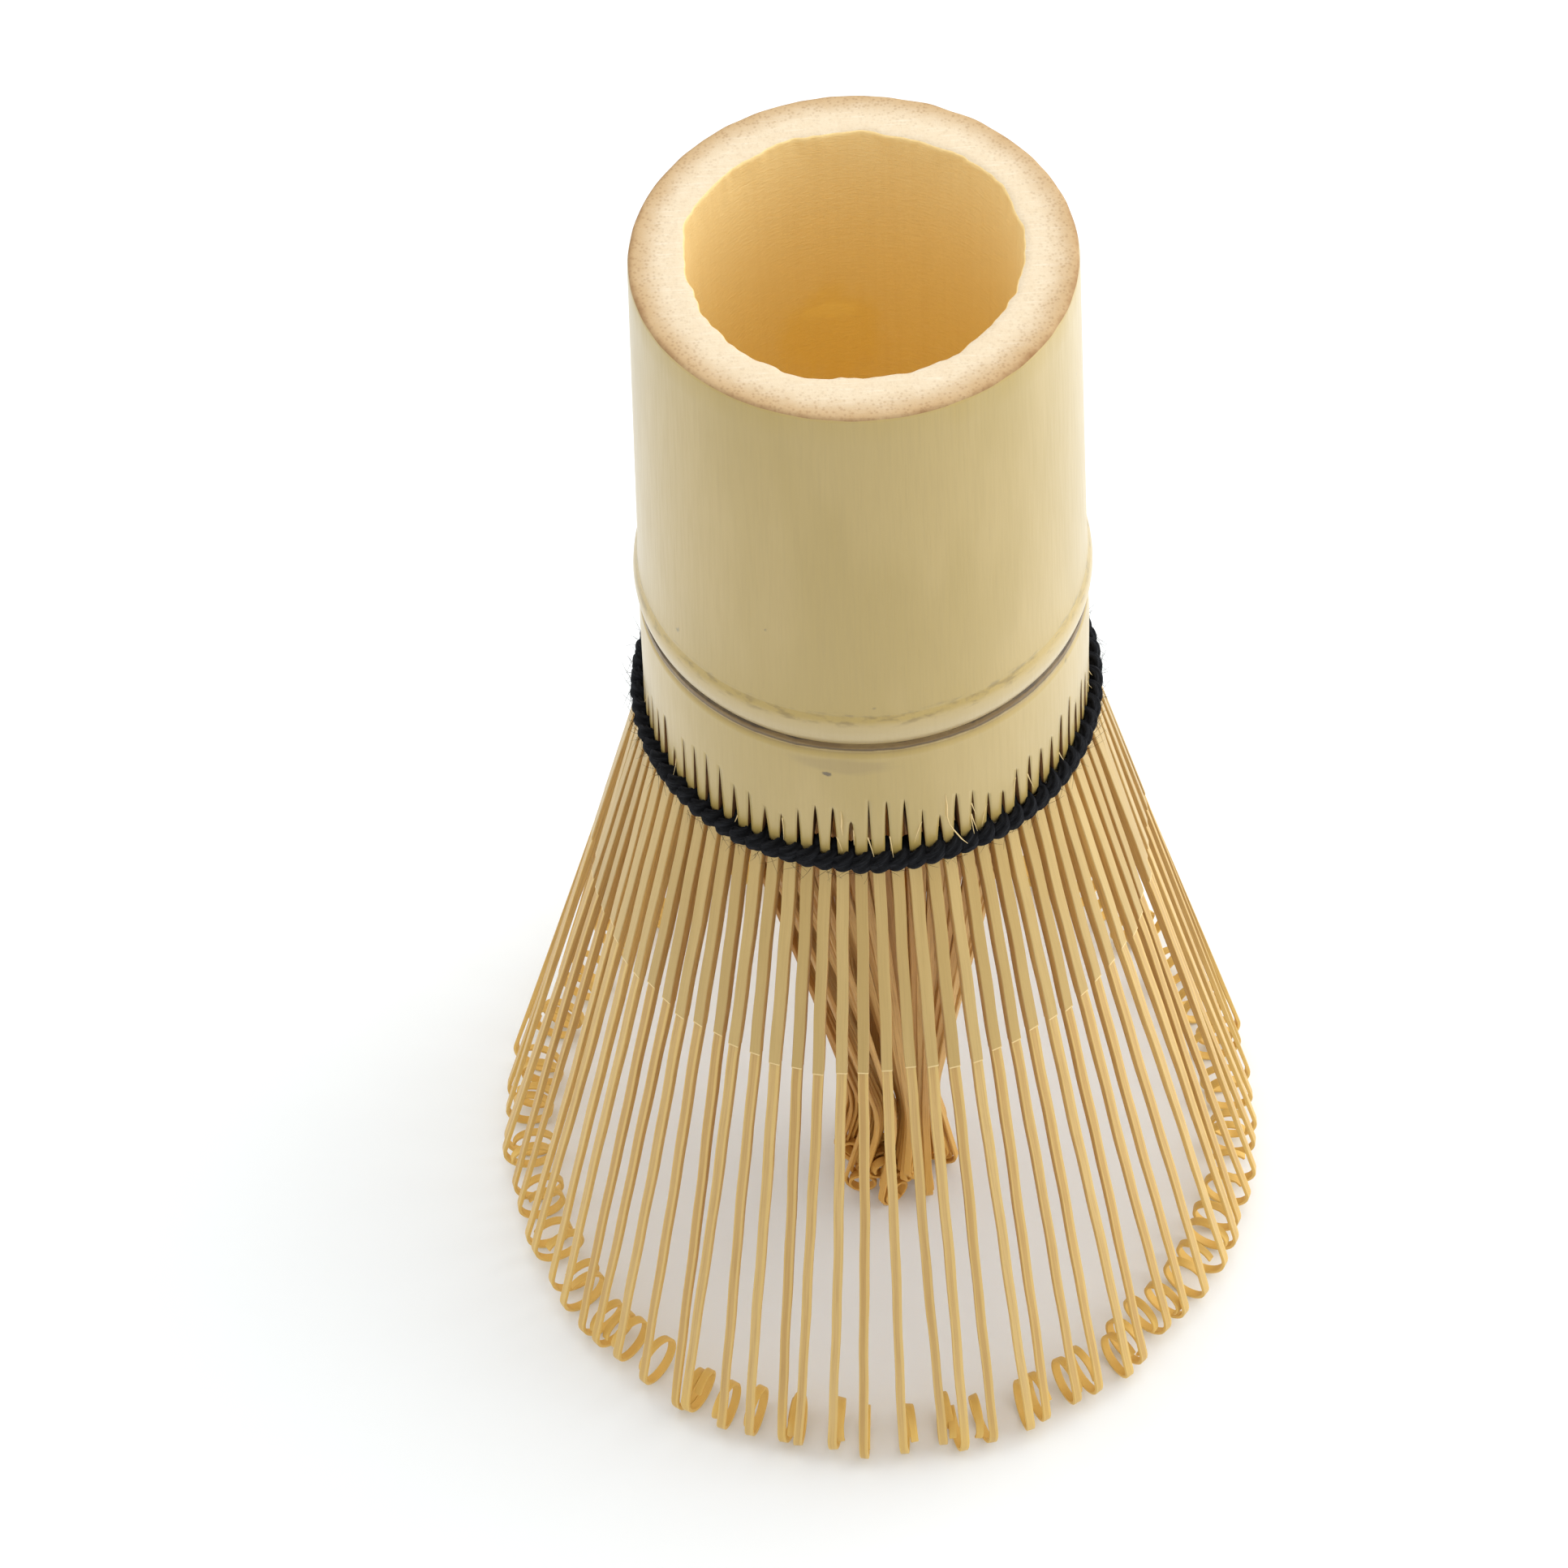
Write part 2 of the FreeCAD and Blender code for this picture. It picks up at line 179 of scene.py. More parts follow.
class Nodes:
    """Short calls for building one material's node tree."""

    def __init__(self, name):
        self.material = bpy.data.materials.new(name)
        self.material.use_nodes = True
        self.tree = self.material.node_tree
        self.shader = self.tree.nodes["Principled BSDF"]

    def add(self, kind, **values):
        node = self.tree.nodes.new(kind)
        for key, value in values.items():
            setattr(node, key, value)
        return node

    def link(self, source, target):
        self.tree.links.new(source, target)

    def object_mm(self, scale=(1, 1, 1)):
        """Object coordinates in millimetres, scaled."""
        coords = self.add("ShaderNodeTexCoord")
        mapping = self.add("ShaderNodeMapping")
        mapping.inputs["Scale"].default_value = [part / MM for part in scale]
        self.link(coords.outputs["Object"], mapping.inputs["Vector"])
        return mapping.outputs["Vector"]

    def strip_mm(self, scale=(1, 1, 1)):
        """Coordinates across and along a tine or yarn in millimetres, from its UV map, scaled."""
        coords = self.add("ShaderNodeUVMap", uv_map="strip")
        mapping = self.add("ShaderNodeMapping")
        mapping.inputs["Scale"].default_value = scale
        self.link(coords.outputs["UV"], mapping.inputs["Vector"])
        return mapping.outputs["Vector"]

    def noise(self, vector, detail=3.0, rough=0.5, distortion=0.0):
        node = self.add("ShaderNodeTexNoise")
        node.inputs["Scale"].default_value = 1.0
        node.inputs["Detail"].default_value = detail
        node.inputs["Roughness"].default_value = rough
        node.inputs["Distortion"].default_value = distortion
        self.link(vector, node.inputs["Vector"])
        return node.outputs["Fac"]

    def attribute(self, name):
        return self.add("ShaderNodeAttribute", attribute_name=name).outputs["Fac"]

    def axis(self, vector, name):
        """One coordinate, X, Y or Z, of a vector."""
        split = self.add("ShaderNodeSeparateXYZ")
        self.link(vector, split.inputs[0])
        return split.outputs[name]

    def height_mm(self):
        """Height above the ground in millimetres."""
        return self.axis(self.object_mm(), "Z")

    def radius_mm(self):
        """Distance from the whisk's axis in millimetres."""
        flat = self.add("ShaderNodeVectorMath", operation="LENGTH")
        self.link(self.object_mm((1, 1, 0)), flat.inputs[0])
        return flat.outputs["Value"]

    def math(self, operation, first, second=0.0):
        node = self.add("ShaderNodeMath", operation=operation)
        for socket, value in zip(node.inputs, (first, second)):
            if isinstance(value, (int, float)):
                socket.default_value = value
            else:
                self.link(value, socket)
        return node.outputs[0]

    def span(self, value, low, high, out_low=0.0, out_high=1.0):
        """Smooth change from out_low to out_high as the value goes from low to high."""
        node = self.add("ShaderNodeMapRange", interpolation_type="SMOOTHSTEP")
        for name, number in (("From Min", low), ("From Max", high),
                             ("To Min", out_low), ("To Max", out_high)):
            node.inputs[name].default_value = number
        self.link(value, node.inputs["Value"])
        return node.outputs["Result"]

    def band(self, value, low, high, soft):
        """1 between low and high, fading to 0 over soft outside them."""
        rise = self.span(value, low - soft, low)
        fall = self.span(value, high, high + soft, 1.0, 0.0)
        return self.math("MULTIPLY", rise, fall)

    def mark(self, spot, size):
        """1 at a spot given in millimetres, ragged, fading to 0 at a size across each axis."""
        near = self.add("ShaderNodeMapping", vector_type="TEXTURE")
        near.inputs["Location"].default_value = spot
        near.inputs["Scale"].default_value = size
        self.link(self.object_mm(), near.inputs["Vector"])
        length = self.add("ShaderNodeVectorMath", operation="LENGTH")
        self.link(near.outputs["Vector"], length.inputs[0])
        ragged = self.noise(near.outputs["Vector"], 3.0, 0.6)
        return self.span(self.math("ADD", length.outputs["Value"], ragged), 1.0, 1.5, 1.0, 0.0)

    def mix(self, factor, first, second):
        """Mixed colour; each side is a socket or an sRGB triple."""
        node = self.add("ShaderNodeMix", data_type="RGBA")
        if isinstance(factor, (int, float)):
            node.inputs[0].default_value = factor
        else:
            self.link(factor, node.inputs[0])
        for socket, value in ((node.inputs[6], first), (node.inputs[7], second)):
            if isinstance(value, tuple):
                socket.default_value = srgb(*value)
            else:
                self.link(value, socket)
        return node.outputs[2]

    def finish(self, colour, roughness, height=None, bump_mm=0.02, specular=0.5):
        """Connects the surface: colour, roughness (number or socket) and a bump height."""
        self.link(colour, self.shader.inputs["Base Color"])
        if isinstance(roughness, (int, float)):
            self.shader.inputs["Roughness"].default_value = roughness
        else:
            self.link(roughness, self.shader.inputs["Roughness"])
        self.shader.inputs["Specular IOR Level"].default_value = specular
        if height is not None:
            bump = self.add("ShaderNodeBump")
            bump.inputs["Distance"].default_value = bump_mm * MM
            bump.inputs["Strength"].default_value = 1.0
            self.link(height, bump.inputs["Height"])
            self.link(bump.outputs["Normal"], self.shader.inputs["Normal"])
        return self.material


def srgb(red, green, blue):
    """Linear colour with alpha from sRGB parts of 0 to 255."""
    def linear(part):
        part /= 255
        return part / 12.92 if part <= 0.04045 else ((part + 0.055) / 1.055) ** 2.4
    return (linear(red), linear(green), linear(blue), 1.0)


def culm_skin():
    """Outer skin of the culm: pale straw with fine upright grain, a scar line at the node."""
    n = Nodes("culm_skin")
    fine = n.noise(n.object_mm((5.0, 5.0, 0.09)), 4.0, 0.6)
    broad = n.noise(n.object_mm((0.16, 0.16, 0.05)), 2.0, 0.5)
    colour = n.mix(n.span(broad, 0.38, 0.62), (190, 164, 95), (183, 157, 84))
    colour = n.mix(n.span(fine, 0.35, 0.8, 0.0, 0.22), colour, (168, 144, 90))
    height = n.height_mm()
    wander = n.noise(n.object_mm((0.5, 0.5, 0.0)), 3.0, 0.6)
    level = n.math("ADD", height, n.math("MULTIPLY", wander, 0.35))
    grey = n.noise(n.object_mm((0.7, 0.7, 2.2)), 3.0, 0.6)
    smudge = n.math("MULTIPLY", n.band(level, 75.9, 76.4, 0.5), n.span(grey, 0.45, 0.68))
    colour = n.mix(n.math("MULTIPLY", n.band(level, 73.7, 75.6, 0.5), 0.45), colour, (206, 186, 142))
    colour = n.mix(n.math("MULTIPLY", smudge, 0.5), colour, (124, 104, 62))
    halo = n.band(level, 72.7, 73.7, 0.5)
    colour = n.mix(n.math("MULTIPLY", halo, 0.4), colour, (136, 106, 58))
    lip = n.band(level, 72.84, 73.22, 0.06)
    colour = n.mix(n.math("MULTIPLY", lip, n.span(grey, 0.2, 0.6, 0.6, 0.95)), colour, (118, 92, 50))
    line = n.band(level, 73.26, 73.38, 0.07)
    colour = n.mix(n.math("MULTIPLY", line, n.span(wander, 0.3, 0.6, 0.6, 0.95)), colour, (62, 46, 22))
    under = n.band(level, 72.74, 72.88, 0.06)
    colour = n.mix(n.math("MULTIPLY", under, 0.7), colour, (76, 58, 28))
    specks = n.add("ShaderNodeTexVoronoi", feature="F1")
    specks.inputs["Scale"].default_value = 1.0
    n.link(n.object_mm((0.33, 0.33, 0.2)), specks.inputs["Vector"])
    spot = n.math("MULTIPLY", n.span(specks.outputs["Distance"], 0.03, 0.09, 1.0, 0.0),
                  n.span(n.noise(n.object_mm((0.9, 0.9, 0.9)), 1.0), 0.55, 0.62))
    colour = n.mix(n.math("MULTIPLY", spot, 0.6), colour, (92, 80, 52))
    speck = n.mark((-3.4, -15.4, 69.9), (0.42, 0.6, 0.3))
    stain = n.mark((-2.4, -15.5, 70.8), (4.5, 4.5, 1.0))
    colour = n.mix(n.math("MULTIPLY", stain, 0.22), colour, (122, 98, 64))
    colour = n.mix(n.math("MULTIPLY", speck, 0.8), colour, (66, 50, 30))
    shine = n.band(level, 72.7, 73.5, 0.2)
    n.link(n.math("SUBTRACT", 0.85, n.math("MULTIPLY", shine, 0.8)), n.shader.inputs["Coat Weight"])
    n.shader.inputs["Coat Roughness"].default_value = 0.32
    return n.finish(colour, n.span(fine, 0.3, 0.7, 0.36, 0.48), fine, 0.015, 0.5)


def cut_rim():
    """Sawn end of the culm: cream, browner and dotted with fibre bundles towards the skin."""
    n = Nodes("cut_rim")
    wander = n.math("MULTIPLY", n.noise(n.object_mm((0.35, 0.35, 0.0)), 4.0, 0.7), 1.3)
    radius = n.math("ADD", n.radius_mm(), n.math("SUBTRACT", wander, 0.2))
    saw = n.noise(n.object_mm((0.35, 5.0, 0.0)), 4.0, 0.7)
    cream = n.mix(n.noise(n.object_mm((1.5, 1.5, 1.5)), 4.0, 0.7), (225, 210, 184), (214, 193, 160))
    cream = n.mix(n.span(saw, 0.5, 0.7, 0.0, 0.5), cream, (232, 221, 200))
    colour = n.mix(n.span(radius, 12.6, 14.9), cream, (190, 159, 116))
    colour = n.mix(n.span(radius, 14.5, 15.3), colour, (150, 110, 68))
    cells = n.add("ShaderNodeTexVoronoi", feature="F1")
    cells.inputs["Scale"].default_value = 1.0
    n.link(n.object_mm((3.6, 3.6, 3.6)), cells.inputs["Vector"])
    dots = n.span(cells.outputs["Distance"], 0.12, 0.5, 1.0, 0.0)
    shown = n.math("MULTIPLY", dots, n.span(radius, 11.8, 14.4, 0.08, 0.4))
    colour = n.mix(shown, colour, (150, 114, 76))
    grain = n.math("ADD", n.noise(n.object_mm((3, 3, 3)), 5.0, 0.7), n.math("MULTIPLY", saw, 0.6))
    return n.finish(colour, 0.75, grain, 0.06, 0.3)


def bore_wall():
    """Inner wall of the handle: golden, deeper towards the septum."""
    n = Nodes("bore_wall")
    streak = n.noise(n.object_mm((2.2, 2.2, 0.05)), 3.0, 0.6)
    grain = n.noise(n.object_mm((1.6, 1.6, 6.0)), 4.0, 0.75)
    deep = n.span(n.height_mm(), 78.0, 105.0)
    colour = n.mix(deep, (240, 214, 134), (238, 211, 152))
    colour = n.mix(n.span(streak, 0.4, 0.75, 0.0, 0.12), colour, (220, 184, 112))
    colour = n.mix(n.span(grain, 0.45, 0.75, 0.0, 0.35), colour, (248, 222, 160))
    resin = n.mark((-1.3, 10.7, 85.6), (4.4, 4.4, 6.4))
    colour = n.mix(n.math("MULTIPLY", resin, 0.4), colour, (240, 204, 76))
    # Painted highlight: a paler patch along the upper edge of the resin spot.
    edge = n.mark((-1.3, 10.7, 88.2), (2.4, 2.4, 1.0))
    colour = n.mix(n.math("MULTIPLY", edge, 0.5), colour, (250, 224, 130))
    # Painted glow: the wall emits light in place of daylight through the bamboo.
    glow(n)
    return n.finish(colour, 0.6, grain, 0.09, 0.35)


def glow(nodes):
    """Painted glow: emission that stands in for daylight coming through the bamboo's thin wall into the
    bore.
    """
    nodes.shader.inputs["Emission Color"].default_value = srgb(212, 178, 92)
    nodes.shader.inputs["Emission Strength"].default_value = GLOW_STRENGTH


def strip_material(name, pale, deep, fibre, fibre_amount):
    """Bamboo of a tine: two tones along the grain, different on each tine, with fine fibres.

    Returns the nodes, the colour and the height of the fibres.
    """
    n = Nodes(name)
    slow = n.noise(n.strip_mm((1.1, 0.05, 1.0)), 2.0, 0.5)
    fine = n.noise(n.strip_mm((9.0, 0.16, 1.0)), 4.0, 0.65)
    tone = n.math("ADD", n.math("MULTIPLY", slow, 0.55), n.math("MULTIPLY", n.attribute("tint"), 0.45))
    colour = n.mix(n.span(tone, 0.25, 0.75), pale, deep)
    colour = n.mix(n.span(fine, 0.42, 0.72, 0.0, fibre_amount), colour, fibre)
    return n, colour, fine


def tine_skin():
    """Skin face of the outer tines above the step."""
    n, colour, fine = strip_material("tine_skin", (202, 172, 108), (188, 157, 92), (168, 136, 76), 0.3)
    return n.finish(colour, 0.4, fine, 0.008, 0.45)


def tine_bare():
    """Shaved face of the outer tines below the step, golden and fibrous."""
    n, colour, fine = strip_material("tine_bare", (212, 179, 116), (194, 155, 90), (172, 131, 70), 0.5)
    across = n.math("MODULO", n.axis(n.strip_mm(), "X"), STRIP_OFFSET)
    centre = n.band(across, 0.14, OUTER_WIDTH_LOW - 0.22, 0.12)
    colour = n.mix(centre, n.mix(0.6, colour, (224, 192, 116)), colour)
    colour = n.mix(n.span(n.attribute("along"), 0.76, 0.92, 0.0, 0.75), colour, (230, 190, 96))
    return n.finish(colour, 0.5, fine, 0.03, 0.4)


def tine_side():
    """Split sides and back of the tines: browner, with long fibres."""
    n, colour, fine = strip_material("tine_side", (224, 186, 112), (196, 153, 84), (162, 117, 58), 0.6)
    colour = n.mix(n.span(n.attribute("along"), 0.5, 0.9), colour, (234, 196, 110))
    return n.finish(colour, 0.55, fine, 0.03, 0.3)


def inner_strip():
    """Inner tines: tan and brown flesh of the culm, more orange near the tips, with painted shade darkening
    their tops inside the collar.
    """
    n, colour, fine = strip_material("inner_strip", (234, 194, 124), (204, 156, 90), (164, 114, 56), 0.6)
    colour = n.mix(n.span(n.attribute("along"), 0.7, 0.88, 0.0, 0.75), colour, (228, 176, 82))
    # Painted shade: the tops of the inner tines, inside the collar, are darkened.
    colour = n.mix(n.span(n.attribute("along"), 0.0, 0.16, 0.85, 0.0), colour, (112, 74, 40))
    return n.finish(colour, 0.55, fine, 0.03, 0.3)


def slit_wall():
    """Raw walls of the slits and the underside of the collar, coloured dark brown as painted shade."""
    n = Nodes("slit_wall")
    fibre = n.noise(n.object_mm((4.0, 4.0, 0.5)), 4.0, 0.7)
    colour = n.mix(n.span(fibre, 0.3, 0.7), (122, 84, 46), (78, 50, 26))
    return n.finish(colour, 0.8, fibre, 0.05, 0.2)


def septum_flesh():
    """Septum seen down the bore."""
    n = Nodes("septum_flesh")
    cloud = n.noise(n.object_mm((0.5, 0.5, 0.5)), 4.0, 0.6)
    colour = n.mix(n.span(cloud, 0.35, 0.7), (240, 200, 116), (226, 176, 92))
    # Painted glow: the septum emits light in place of daylight through the bamboo.
    glow(n)
    return n.finish(colour, 0.7, cloud, 0.1, 0.3)


def cotton():
    """Black cotton yarn with a dull, slightly blue fibre sheen, painted grey-blue sheen patches and painted
    shade in its grooves and behind the tines.
    """
    n = Nodes("cotton")
    fibre = n.noise(n.strip_mm((10.0, 1.6, 1.0)), 4.0, 0.75)
    sheen_patches = n.noise(n.strip_mm((3.0, 3.0, 1.0)), 3.0, 0.7)
    colour = n.mix(n.span(fibre, 0.4, 0.75), (14, 15, 17), (46, 47, 51))
    # Painted shade: near-black in the grooves between the plies and where the yarn passes behind a tine.
    colour = n.mix(n.span(n.attribute("tint"), 0.1, 0.95, 0.9, 0.0), colour, (3, 3, 4))
    # Painted sheen: lighter grey-blue patches stand in for light catching the fuzz.
    colour = n.mix(n.span(sheen_patches, 0.62, 0.78, 0.0, 0.5), colour, (52, 54, 60))
    n.shader.inputs["Sheen Weight"].default_value = 0.06
    n.shader.inputs["Sheen Roughness"].default_value = 0.5
    n.shader.inputs["Sheen Tint"].default_value = srgb(140, 146, 165)
    return n.finish(colour, 0.9, fibre, 0.15, 0.15)


def pale_fibre():
    """Loose splinters of bamboo skin."""
    n = Nodes("pale_fibre")
    tone = n.noise(n.object_mm((2, 2, 2)), 2.0)
    return n.finish(n.mix(tone, (236, 212, 156), (222, 192, 130)), 0.5, None, 0.0, 0.4)


def floor_paint():
    """Plain pale floor, with painted shade making it a little greyer towards the front."""
    n = Nodes("floor_paint")
    tone = n.noise(n.object_mm((0.02, 0.02, 0.02)), 2.0)
    pale = n.mix(tone, (238, 241, 242), (240, 243, 244))
    # Painted shade: the floor darkens towards the camera.
    colour = n.mix(n.span(n.axis(n.object_mm(), "Y"), -110.0, -20.0), (224, 226, 227), pale)
    return n.finish(colour, 0.8, None, 0.0, 0.2)


# ---------------------------------------------------------------- mesh helpers


class Builder:
    """Collects lofted strips in millimetres and turns them into one mesh object."""

    def __init__(self):
        self.points, self.faces, self.slots, self.uvs = [], [], [], []
        self.tint, self.along = [], []

    def loft(self, rings, slots, lengths, tint=0.5, offset=0.0, capped=True, closed=False, shades=None):
        """Skins equal rings of points. slots(ring, side) gives a face's material index.

        lengths holds each ring's distance along the strip; offset shifts the strip's UVs.
        tint is one value for the strip; shades, if given, holds one for each point instead, as the yarn's
        painted shade does.
        """
        first, count = len(self.points), len(rings[0])
        total = lengths[-1] or 1.0
        across = [offset]
        for a, b in zip(rings[0], rings[0][1:] + rings[0][:1]):
            across.append(across[-1] + (b - a).length)
        for ring, length in zip(rings, lengths):
            self.points += [point * MM for point in ring]
            self.along += [length / total] * count
        self.tint += shades or [tint] * (count * len(rings))
        for row in range(len(rings) if closed else len(rings) - 1):
            after = (row + 1) % len(rings)
            low = lengths[row] + offset
            high = lengths[after] + offset if after else low + lengths[1] - lengths[0]
            for side in range(count):
                other = (side + 1) % count
                self.faces.append((first + row * count + side, first + row * count + other,
                                   first + after * count + other, first + after * count + side))
                self.slots.append(slots(row, side))
                left, right = across[side], across[side + 1]
                self.uvs.append([(left, low), (right, low), (right, high), (left, high)])
        if capped and not closed:
            for row, order in ((0, range(count - 1, -1, -1)), (len(rings) - 1, range(count))):
                self.faces.append(tuple(first + row * count + side for side in order))
                self.slots.append(slots(row, count // 2))
                self.uvs.append([(across[side], lengths[row]) for side in order])

    def piece(self, name, body, nodes, slot, materials, sharp=40.0):
        """The finished object, riding on a body and standing for its CAD nodes."""
        mesh = bpy.data.meshes.new(name)
        mesh.from_pydata(self.points, [], self.faces)
        for material in materials:
            mesh.materials.append(material)
        layer = mesh.uv_layers.new(name="strip")
        for polygon, corner_uvs, index in zip(mesh.polygons, self.uvs, self.slots):
            polygon.material_index = index
            polygon.use_smooth = True
            for loop, uv in zip(polygon.loop_indices, corner_uvs):
                layer.data[loop].uv = uv
        for label, values in (("tint", self.tint), ("along", self.along)):
            mesh.attributes.new(label, "FLOAT", "POINT").data.foreach_set("value", values)
        mesh.set_sharp_from_angle(angle=math.radians(sharp))
        return place(mesh, name, body, nodes)


def place(mesh, name, body, nodes):
    piece = bpy.data.objects.new(name, mesh)
    bpy.context.scene.collection.objects.link(piece)
    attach(piece, body)
    if nodes:
        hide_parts(*nodes)
    return piece


def bevelled_section(centre, side, face, width, thick, edge):
    """Eight points round a strip's section: outer face first, then right side, back and left side."""
    half_w, half_t = width / 2, thick / 2
    edge = min(edge, half_w * 0.45, half_t * 0.45)
    outline = [(-half_w + edge, half_t), (half_w - edge, half_t), (half_w, half_t - edge),
               (half_w, -half_t + edge), (half_w - edge, -half_t), (-half_w + edge, -half_t),
               (-half_w, -half_t + edge), (-half_w, half_t - edge)]
    return [centre + side * across + face * deep for across, deep in outline]


# ---------------------------------------------------------------- culm


def culm_radius(z, degrees):
    """Outer radius of the culm: the profile, slightly out of round."""
    for (low_z, low_r), (high_z, high_r) in zip(CULM_PROFILE, CULM_PROFILE[1:]):
        if z <= high_z:
            break
    part = min(max((z - low_z) / (high_z - low_z), 0.0), 1.0)
    radius = low_r + (high_r - low_r) * part
    angle = math.radians(degrees)
    oval = 0.07 * math.cos(2 * angle + 0.6) + 0.03 * math.cos(3 * angle + 0.02 * z)
    return radius + oval * smooth(z, 62.0, 70.0)


def bore_radius(z, degrees):
    """Radius of the bore: round low down, with knife-cut facets near the rim."""
    spot = turned(1.0, degrees, 0)
    broad = 0.32 * noise.noise(spot * 1.7 + Vector((3.1, 0, 0.02 * z)))
    facets = 0.3 * noise.noise(spot * 5.0) + 0.12 * noise.noise(spot * 16.0 + Vector((0, 0, 0.5 * z)))
    return BORE_R + broad + facets * smooth(z, 101.5, HEIGHT)


def lathe(builder, rows, slots, steps=360):
    """Revolves rows of (z, radius function) once round; slots gives each band's material."""
    rings = []
    for z, radius in rows:
        rings.append([turned(radius(z, 360 * k / steps), 360 * k / steps, z) for k in range(steps)])
    builder.loft(rings, lambda row, side: slots[row], [float(k) for k in range(len(rings))], capped=False)


def rim_edge(inset, wear):
    """Radius function for the worn outer edge of the sawn end."""
    return lambda z, a: culm_radius(HEIGHT, a) - inset - wear * (0.5 + noise.noise(turned(9.0, a, 0)))


def rim_face(share):
    """Radius function on the sawn end, from the skin at share 0 to the bore at share 1."""
    return lambda z, a: (culm_radius(z, a) - 0.3) * (1 - share) + (bore_radius(z, a) + BORE_EDGE) * share


def bore_edge(gap):
    """Radius function for the broken inner edge of the sawn end."""
    return lambda z, a: bore_radius(HEIGHT, a) + gap


def handle_piece(skin, rim, bore):
    """Handle with its outer skin, sawn rim and bore wall."""
    low, skin_top, bore_top = NODE_TOP_Z, HEIGHT - 0.45, HEIGHT - 0.3
    skin_rows = [(low + (skin_top - low) * k / 14, culm_radius) for k in range(15)]
    rim_rows = [(HEIGHT - 0.22, rim_edge(0.02, 0.05)), (HEIGHT - 0.08, rim_edge(0.1, 0.09)),
                (HEIGHT - 0.02, rim_edge(0.24, 0.14))]
    rim_rows += [(HEIGHT, rim_face(share)) for share in (0.1, 0.35, 0.6, 0.85)]
    # The broken inner edge of the rim takes the bore material, with its painted glow.
    bore_rows = [(HEIGHT - 0.03, bore_edge(BORE_EDGE)), (HEIGHT - 0.14, bore_edge(0.02))]
    bore_rows += [(bore_top - (bore_top - low) * (k / 18) ** 1.6, bore_radius) for k in range(19)]
    builder = Builder()
    lathe(builder, skin_rows + rim_rows + bore_rows,
          [0] * len(skin_rows) + [1] * len(rim_rows) + [2] * len(bore_rows))
    return builder.piece("handle_culm", "grip", ["handle_tube"], "bamboo_skin", [skin, rim, bore], 55.0)


def scar_radius(z, degrees):
    """Radius of the node ring, with the scar wandering a little up and down round the culm."""
    wander = SCAR_WANDER * math.sin(math.radians(3 * degrees)) * math.exp(-abs(z - SCAR_Z))
    return culm_radius(z + wander, degrees)


def node_piece(skin, bore):
    """Node ring: swelling, thin groove and lip of the sheath scar."""
    heights = [NODE_LOW_Z, 72.6] + [72.76 + 0.05 * k for k in range(15)]
    heights += [73.6, 73.9, 74.2, 74.6, 74.9, 75.2, 75.5, 75.8, 76.0, NODE_TOP_Z]
    rows = [(z, scar_radius) for z in heights]
    slots = [0] * len(rows)
    rows += [(NODE_TOP_Z, bore_radius), (74.4, bore_radius)]
    slots += [1, 1]
    builder = Builder()
    lathe(builder, rows, slots)
    return builder.piece("node_scar_ring", "grip", ["node_ring"], "bamboo_skin", [skin, bore], 60.0)


def slit_top(index):
    """Height where the slit after an outer tine begins."""
    return SLIT_TOP_Z + SLIT_TOP_SPREAD * (jitter(index, 2) + 0.5 * jitter(index // 3, 21))


def tine_width(index):
    return OUTER_WIDTH_TOP + OUTER_WIDTH_SPREAD * jitter(index % TINE_COUNT, 1)


def slit_half(index, z):
    """Half width, in degrees, of the slit after an outer tine at a height."""
    index %= TINE_COUNT
    finger = FINGER_SHARE * (tine_width(index) + tine_width(index + 1)) / 2
    full = (PITCH - math.degrees(finger / FINGER_END_R)) * (1 + 0.7 * jitter(index, 10))
    reach = max(slit_top(index) - z, 0.0) / (slit_top(index) - FINGER_END_Z)
    return full / 2 * min(reach, 1.0) ** (0.62 + 0.6 * jitter(index, 8))


